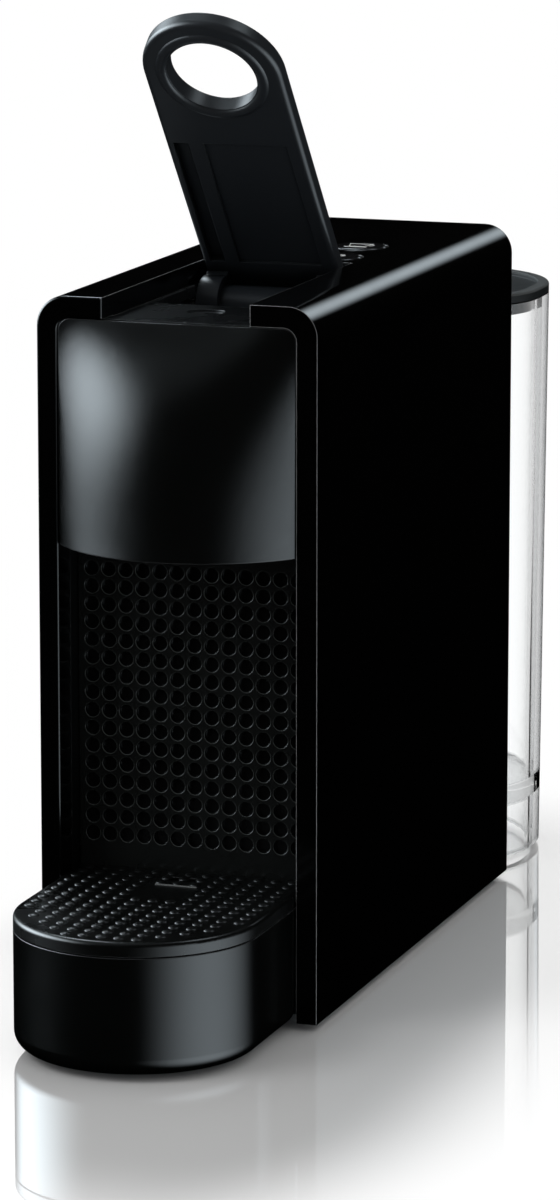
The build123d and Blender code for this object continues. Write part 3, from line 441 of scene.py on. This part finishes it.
def bumped(tree, height, depth, normal=None):
    """A bump of a given depth in metres."""
    bump = node(tree, "ShaderNodeBump", {"Strength": 1.0, "Distance": depth})
    link(tree, height, bump.inputs["Height"])
    if normal:
        link(tree, normal, bump.inputs["Normal"])
    return bump.outputs["Normal"]


def edge_highlight_mask(tree, normal):
    """A mask of the sharp edges, where a highlight is painted paler into the colour, uneven along their length.
    """
    lean = node(tree, "ShaderNodeVectorMath", operation="DOT_PRODUCT")
    link(tree, normal, lean.inputs[0])
    link(tree, node(tree, "ShaderNodeNewGeometry").outputs["Normal"], lean.inputs[1])
    return together(
        tree,
        eased(tree, lean.outputs["Value"], *EDGE_HIGHLIGHT_LEAN),
        spread(tree, noise(tree, EDGE_HIGHLIGHT_SCALE), *EDGE_HIGHLIGHT_SPREAD),
    )


def painted_shade_mask(tree):
    """A mask of grooves and inner corners, where shade is painted darker into the colour."""
    reach = {"Distance": RECESS_REACH}
    open_share = node(tree, "ShaderNodeAmbientOcclusion", reach, samples=RECESS_SAMPLES, only_local=True)
    return eased(tree, open_share.outputs["AO"], *RECESS_OPENNESS)


# Finishes

def plastic(name, dark, light, rough, grain, depth, edge_highlight=None, recess_shade=None, specular=0.5):
    """Moulded plastic: a fine grain, a drifting shade, uneven polish, softened edges, a highlight painted on
    them and shade painted in recesses.
    """
    material, tree, shader = new_material(name)
    normal = rounded_normal(tree, EDGE)
    shade = shaded(tree, noise(tree, SHADE_SCALE), dark, light)
    # Paints a highlight onto the sharp edges
    if edge_highlight:
        shade = blended(tree, edge_highlight_mask(tree, normal), shade, edge_highlight)
    # Paints shade into grooves and inner corners
    if recess_shade:
        shade = blended(tree, painted_shade_mask(tree), shade, recess_shade)
    link(tree, shade, shader.inputs["Base Color"])
    link(tree, spread(tree, noise(tree, POLISH_SCALE), *rough), shader.inputs["Roughness"])
    shader.inputs["Specular IOR Level"].default_value = specular
    link(tree, bumped(tree, noise(tree, grain), depth, normal), shader.inputs["Normal"])
    return material


def metal(name, dark, light, rough, brushing, depth=BRUSH_DEPTH):
    """Metal with fine lines along one direction."""
    material, tree, shader = new_material(name)
    lines = noise(tree, BRUSH_SCALE, brushing)
    link(tree, shaded(tree, lines, dark, light), shader.inputs["Base Color"])
    link(tree, spread(tree, lines, *rough), shader.inputs["Roughness"])
    shader.inputs["Metallic"].default_value = 1.0
    link(tree, bumped(tree, lines, depth, rounded_normal(tree, METAL_EDGE)), shader.inputs["Normal"])
    return material


def clear_plastic(name):
    """Clear polished plastic, greyer where it is seen edge on and where it is thick."""
    material, tree, shader = new_material(name)
    facing = node(tree, "ShaderNodeLayerWeight").outputs["Facing"]
    tint = shaded(tree, eased(tree, facing, *EDGE_ON), CLEAR_TINT, CLEAR_EDGE_TINT)
    z = own_place(tree)["Z"]
    slab = together(
        tree,
        math_node(tree, "GREATER_THAN", z, TANK_FLOOR[0] - BAND_EDGE),
        math_node(tree, "LESS_THAN", z, TANK_FLOOR[1] + BAND_EDGE),
    )
    thick = either(tree, slab, math_node(tree, "LESS_THAN", z, TANK_FOOT))
    link(tree, blended(tree, thick, tint, CLEAR_THICK_TINT), shader.inputs["Base Color"])
    shader.inputs["Roughness"].default_value = CLEAR_ROUGHNESS
    shader.inputs["Transmission Weight"].default_value = 1.0
    shader.inputs["IOR"].default_value = CLEAR_IOR
    link(tree, bumped(tree, noise(tree, RIPPLE_SCALE), RIPPLE_DEPTH), shader.inputs["Normal"])
    return material


def circuit_board(name):
    """Green board with lighter tracks."""
    material, tree, shader = new_material(name)
    tracks = node(tree, "ShaderNodeTexBrick", {"Scale": TRACK_SCALE, "Mortar Size": TRACK_WIDTH})
    tracks.inputs["Color1"].default_value, tracks.inputs["Color2"].default_value = BOARD_COLOURS
    tracks.inputs["Mortar"].default_value = TRACK_COLOUR
    link(tree, node(tree, "ShaderNodeTexCoord").outputs["Object"], tracks.inputs["Vector"])
    link(tree, tracks.outputs["Color"], shader.inputs["Base Color"])
    link(tree, spread(tree, noise(tree, BOARD_SCALE), *BOARD_ROUGHNESS), shader.inputs["Roughness"])
    return material


def dimple_rim_highlights(tree, x, z):
    """A mask of the highlight painted on the rims of the dimples, brightest below."""
    half_pitch = DIMPLE_PITCH / 2
    above = math_node(tree, "SUBTRACT", z, DIMPLE_FLOOR)
    across = math_node(tree, "WRAP", x, half_pitch, -half_pitch)
    up = math_node(tree, "WRAP", above, half_pitch, -half_pitch)
    off = math_node(tree, "SUBTRACT", length(tree, across, up), DIMPLE_RADIUS)
    rim = eased(tree, math_node(tree, "ABSOLUTE", off), DIMPLE_RIM, 0.0)
    lit = eased(tree, up, 2 * DIMPLE_RADIUS, -DIMPLE_RADIUS)
    side_columns = int(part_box("splash_wall")[1].x / DIMPLE_PITCH)
    columns_half = (2 * side_columns + 1) * half_pitch
    in_columns = math_node(tree, "LESS_THAN", math_node(tree, "ABSOLUTE", x), columns_half)
    from_middle = math_node(tree, "SUBTRACT", above, (DIMPLE_ROWS - 1) * half_pitch)
    in_rows = math_node(tree, "LESS_THAN", math_node(tree, "ABSOLUTE", from_middle), DIMPLE_ROWS * half_pitch)
    return together(tree, rim, lit, in_columns, in_rows)


def paint_dimple_light_and_shade(material):
    """Paints a highlight on the rims of the splash wall's dimples and paints shade into the dimples within."""
    tree = material.node_tree
    x, y, z = own_place(tree)
    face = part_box("splash_wall")[0].y
    recolour(material, dimple_rim_highlights(tree, x, z), DIMPLE_HIGHLIGHT_COLOUR)
    recolour(material, eased(tree, y, *(face + depth for depth in DIMPLE_SHADE)), DIMPLE_PAINTED_SHADE_COLOUR)


def paint_lid_rim_highlight(material):
    """Paints a pale highlight on the raised rim of the tank's lid, paler than its middle."""
    tree = material.node_tree
    raised = math_node(tree, "GREATER_THAN", own_place(tree)["Z"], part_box("tank_lid")[1].z - LID_RIM)
    recolour(material, raised, LID_RIM_HIGHLIGHT_COLOUR)


def make_finishes():
    """Every finish by its name."""
    finishes = {name: plastic(name, **look) for name, look in PLASTICS.items()}
    finishes.update({name: metal(name, **look) for name, look in METALS.items()})
    finishes["clear"] = clear_plastic("clear")
    finishes["board_green"] = circuit_board("board_green")
    paint_dimple_light_and_shade(finishes["dimpled_black"])
    paint_lid_rim_highlight(finishes["lid_grey"])
    return finishes


def finish_nodes():
    """Gives each CAD node its own finish or that of its slot."""
    for part in frame["record"]["subparts"]:
        data = frame["nodes"][part["node"]].data
        data.materials.clear()
        data.materials.append(FINISHES[OWN_FINISHES.get(part["node"], part["material_slot"])])


# Small details

def add_piece(name, mesh_or_curve, finish, body):
    """Links a new piece into the scene, with its finish and the body that it rides on."""
    piece = bpy.data.objects.new(name, mesh_or_curve)
    bpy.context.scene.collection.objects.link(piece)
    mesh_or_curve.materials.append(FINISHES[finish])
    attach(piece, body)
    return piece


def to_mesh(shape, name):
    """Turns a finished shape into a mesh."""
    mesh = bpy.data.meshes.new(name)
    shape.to_mesh(mesh)
    shape.free()
    return mesh


def inside_tray(x, y, half, front):
    """Whether a point lies inside the D of the cup support, drawn in by the bumps' margin."""
    centre = front + half
    room = half - BUMP_EDGE
    if y >= centre:
        return abs(x) <= room
    return math.hypot(x, y - centre) <= room


def cup_support_bumps():
    """Low round bumps in straight rows over the cup support."""
    low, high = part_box("cup_support")
    half = (high.x - low.x) / 2
    drain_y = high.y - DRAIN_INSET
    shape = bmesh.new()
    rows = int((high.y - low.y) / BUMP_PITCH) + 1
    columns = int(half / BUMP_PITCH) + 1
    for row in range(rows):
        y = high.y - BUMP_EDGE - row * BUMP_PITCH
        for column in range(-columns, columns + 1):
            x = column * BUMP_PITCH
            in_drain = abs(x) < DRAIN_HALF.x and abs(y - drain_y) < DRAIN_HALF.y
            if in_drain or not inside_tray(x, y, half, low.y):
                continue
            place = Matrix.Translation((x, y, high.z - BUMP_SINK)) @ Matrix.Diagonal((*BUMP_SIZE, 1.0))
            bmesh.ops.create_uvsphere(
                shape, u_segments=BUMP_SEGMENTS, v_segments=BUMP_RINGS, radius=1.0, matrix=place
            )
    below = [v for v in shape.verts if v.co.z < high.z - 2 * BUMP_SINK]
    bmesh.ops.delete(shape, geom=below, context="VERTS")
    for face in shape.faces:
        face.smooth = True
    mesh = to_mesh(shape, "cup_support_bumps")
    add_piece("cup_support_bumps", mesh, "bump_black", "cup_support")


def drain_lip():
    """A thin raised lip along the back of the cup support's bare place, pale grey as a painted highlight."""
    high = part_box("cup_support")[1]
    shape = bmesh.new()
    place = Matrix.Translation((LIP_SHIFT, high.y - DRAIN_INSET + DRAIN_HALF.y, high.z))
    lie = place @ Matrix.Rotation(math.radians(90.0), 4, "Y")
    bmesh.ops.create_cone(
        shape, cap_ends=True, segments=LIP_SEGMENTS,
        radius1=LIP_RADIUS, radius2=LIP_RADIUS, depth=2 * LIP_HALF, matrix=lie,
    )
    add_piece("drain_lip", to_mesh(shape, "drain_lip"), "lip_highlight_grey", "cup_support")


def stroke(curve, points, closed=False):
    """One stroke of a mark, through points in the curve's plane."""
    spline = curve.splines.new("POLY")
    spline.points.add(len(points) - 1)
    for target, (x, y) in zip(spline.points, points):
        target.co = (x, y, 0.0, 1.0)
    spline.use_cyclic_u = closed


def arc(centre, radius, start, end):
    """Points along an arc between two angles in degrees."""
    turns = [math.radians(start + (end - start) * step / HANDLE_STEPS) for step in range(HANDLE_STEPS + 1)]
    return [(centre[0] + radius * math.cos(turn), centre[1] + radius * math.sin(turn)) for turn in turns]


def cup_mark(button, width, height):
    """A plain outline of a cup with a handle and a saucer, in white on a button."""
    low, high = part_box(button)
    curve = bpy.data.curves.new(button + "_mark", "CURVE")
    curve.dimensions = "3D"
    curve.bevel_depth = MARK_STROKE
    curve.bevel_resolution = MARK_ROUNDNESS
    half = width / 2
    foot = half * CUP_TAPER
    top = height / 2
    stroke(curve, [(-half, top), (half, top), (foot, -top), (-foot, -top)], closed=True)
    handle = (half * HANDLE_PLACE[0], height * HANDLE_PLACE[1])
    stroke(curve, arc(handle, height * HANDLE_RADIUS, *HANDLE_TURN))
    saucer = -top - SAUCER_DROP * MARK_STROKE
    stroke(curve, [(-half, saucer), (half, saucer)])
    piece = add_piece(button + "_mark", curve, "mark_white", button)
    middle = (low + high) / 2
    piece.location = (middle.x + MARK_SHIFT.x, middle.y + MARK_SHIFT.y, high.z + MARK_PROUD - MARK_STROKE)


# Studio

def add_camera():
    """The camera at the photo's viewing angle."""
    data = bpy.data.cameras.new("camera")
    data.lens = CAMERA_LENS
    data.sensor_width = CAMERA_SENSOR
    data.clip_end = CAMERA_CLIP
    camera = bpy.data.objects.new("camera", data)
    bpy.context.scene.collection.objects.link(camera)
    yaw, pitch = math.radians(CAMERA_YAW), math.radians(CAMERA_PITCH)
    level = math.cos(pitch)
    heading = Vector((-math.sin(yaw) * level, math.cos(yaw) * level, -math.sin(pitch)))
    camera.location = CAMERA_TARGET - heading * CAMERA_DISTANCE
    camera.rotation_euler = heading.to_track_quat("-Z", "Y").to_euler()
    bpy.context.scene.camera = camera


def pane_of_light(tree, azimuth, elevation, centre, half, strength):
    """One soft pane: its strength in its core, falling to nothing at its edge."""
    turn = math_node(tree, "SUBTRACT", azimuth, math.radians(centre[0]))
    turn = math_node(tree, "WRAP", turn, math.pi, -math.pi)
    rise = math_node(tree, "SUBTRACT", elevation, math.radians(centre[1]))
    turn = math_node(tree, "DIVIDE", turn, math.radians(half[0]))
    rise = math_node(tree, "DIVIDE", rise, math.radians(half[1]))
    return eased(tree, length(tree, turn, rise), 1.0, PANE_CORE, strength)


def panes_of_light(tree):
    """The sum of the panes in the direction of a ray."""
    heading = node(tree, "ShaderNodeSeparateXYZ")
    link(tree, node(tree, "ShaderNodeTexCoord").outputs["Generated"], heading.inputs["Vector"])
    x, y, z = heading.outputs
    azimuth = math_node(tree, "ARCTAN2", x, math_node(tree, "MULTIPLY", y, -1.0))
    elevation = math_node(tree, "ARCSINE", z)
    total = 0.0
    for pane in PANES.values():
        total = math_node(tree, "ADD", pane_of_light(tree, azimuth, elevation, *pane), total)
    return total


def add_world():
    """White to the eye and to mirrors, an even fill for matte surfaces and panes of light for satin ones."""
    world = bpy.data.worlds.new("studio")
    world.use_nodes = True
    bpy.context.scene.world = world
    tree = world.node_tree
    tree.nodes.clear()
    path = node(tree, "ShaderNodeLightPath").outputs
    panes = node(tree, "ShaderNodeVectorMath", operation="SCALE")
    panes.inputs[0].default_value = PANE_COLOUR
    link(tree, panes_of_light(tree), panes.inputs["Scale"])
    satin = node(tree, "ShaderNodeMix", data_type="RGBA")
    satin.inputs["A"].default_value = AMBIENT
    link(tree, path["Is Glossy Ray"], satin.inputs["Factor"])
    link(tree, panes.outputs["Vector"], satin.inputs["B"])
    seen = either(tree, path["Is Camera Ray"], path["Is Transmission Ray"], path["Is Singular Ray"])
    background = node(tree, "ShaderNodeBackground")
    link(tree, blended(tree, seen, satin.outputs["Result"], WHITE), background.inputs["Color"])
    output = node(tree, "ShaderNodeOutputWorld")
    link(tree, background.outputs["Background"], output.inputs["Surface"])


def past_foot(tree, place, half, weight):
    """How far a place on the floor lies past the machine's outline along one axis, by a weight."""
    past = either(tree, math_node(tree, "SUBTRACT", place, half), 0.0)
    return math_node(tree, "MULTIPLY", past, weight)


def floor_distance(tree):
    """How far a place on the floor lies from the machine, with a weight for each side."""
    place = node(tree, "ShaderNodeSeparateXYZ")
    link(tree, node(tree, "ShaderNodeNewGeometry").outputs["Position"], place.inputs["Vector"])
    low, high = cad_box
    rightward, backward = place.outputs["X"], place.outputs["Y"]
    leftward = math_node(tree, "MULTIPLY", rightward, -1.0)
    forward = math_node(tree, "MULTIPLY", backward, -1.0)
    aside = either(
        tree,
        past_foot(tree, rightward, high.x, FLOOR_RIGHT_WEIGHT),
        past_foot(tree, leftward, high.x + FLOOR_LEFT_MARGIN, FLOOR_LEFT_WEIGHT),
    )
    ahead = either(
        tree,
        past_foot(tree, forward, -low.y, FLOOR_FRONT_WEIGHT),
        past_foot(tree, backward, FLOOR_BACK_START, FLOOR_BACK_WEIGHT),
    )
    return length(tree, aside, ahead)


def floor_material():
    """Pale polished floor: a matte white that mirrors what stands on it close by, and plain white far off."""
    material, tree, shader = new_material("floor")
    tree.nodes.remove(shader)
    away = floor_distance(tree)
    matte = node(tree, "ShaderNodeBsdfDiffuse", {"Color": FLOOR_COLOUR})
    mirror = node(tree, "ShaderNodeBsdfAnisotropic", {"Color": (*WHITE, 1.0), "Roughness": 0.0})
    polish = node(tree, "ShaderNodeMixShader")
    link(tree, eased(tree, away, *FLOOR_FADE[::-1], FLOOR_MIRROR), polish.inputs["Fac"])
    link(tree, matte.outputs["BSDF"], polish.inputs[1])
    link(tree, mirror.outputs["BSDF"], polish.inputs[2])
    path = node(tree, "ShaderNodeLightPath").outputs
    seen = either(tree, path["Is Camera Ray"], path["Is Transmission Ray"])
    white = node(tree, "ShaderNodeEmission")
    both = node(tree, "ShaderNodeMixShader")
    link(tree, together(tree, eased(tree, away, *FLOOR_CLEAR), seen), both.inputs["Fac"])
    link(tree, polish.outputs["Shader"], both.inputs[1])
    link(tree, white.outputs["Emission"], both.inputs[2])
    link(tree, both.outputs["Shader"], tree.nodes["Material Output"].inputs["Surface"])
    return material


def add_floor():
    """A plain pale floor under the feet."""
    shape = bmesh.new()
    bmesh.ops.create_grid(shape, x_segments=1, y_segments=1, size=FLOOR_HALF)
    mesh = to_mesh(shape, "floor")
    mesh.materials.append(floor_material())
    floor = bpy.data.objects.new("floor", mesh)
    floor.visible_glossy = False
    bpy.context.scene.collection.objects.link(floor)


def add_key_lamp():
    """A soft square lamp that looks at the middle of the machine."""
    data = bpy.data.lights.new("key", "AREA")
    data.shape = "SQUARE"
    data.size = KEY_SIZE
    data.energy = KEY_WATTS
    lamp = bpy.data.objects.new("key", data)
    bpy.context.scene.collection.objects.link(lamp)
    lamp.location = KEY_PLACE
    lamp.rotation_euler = (CAMERA_TARGET - KEY_PLACE).to_track_quat("-Z", "Y").to_euler()
    lamp.visible_camera = False
    lamp.visible_glossy = False


FINISHES = make_finishes()
finish_nodes()
cup_support_bumps()
drain_lip()
for button, size in MARKS.items():
    cup_mark(button, *size)
add_camera()
add_world()
add_floor()
add_key_lamp()
bpy.context.scene.view_settings.view_transform = "Standard"
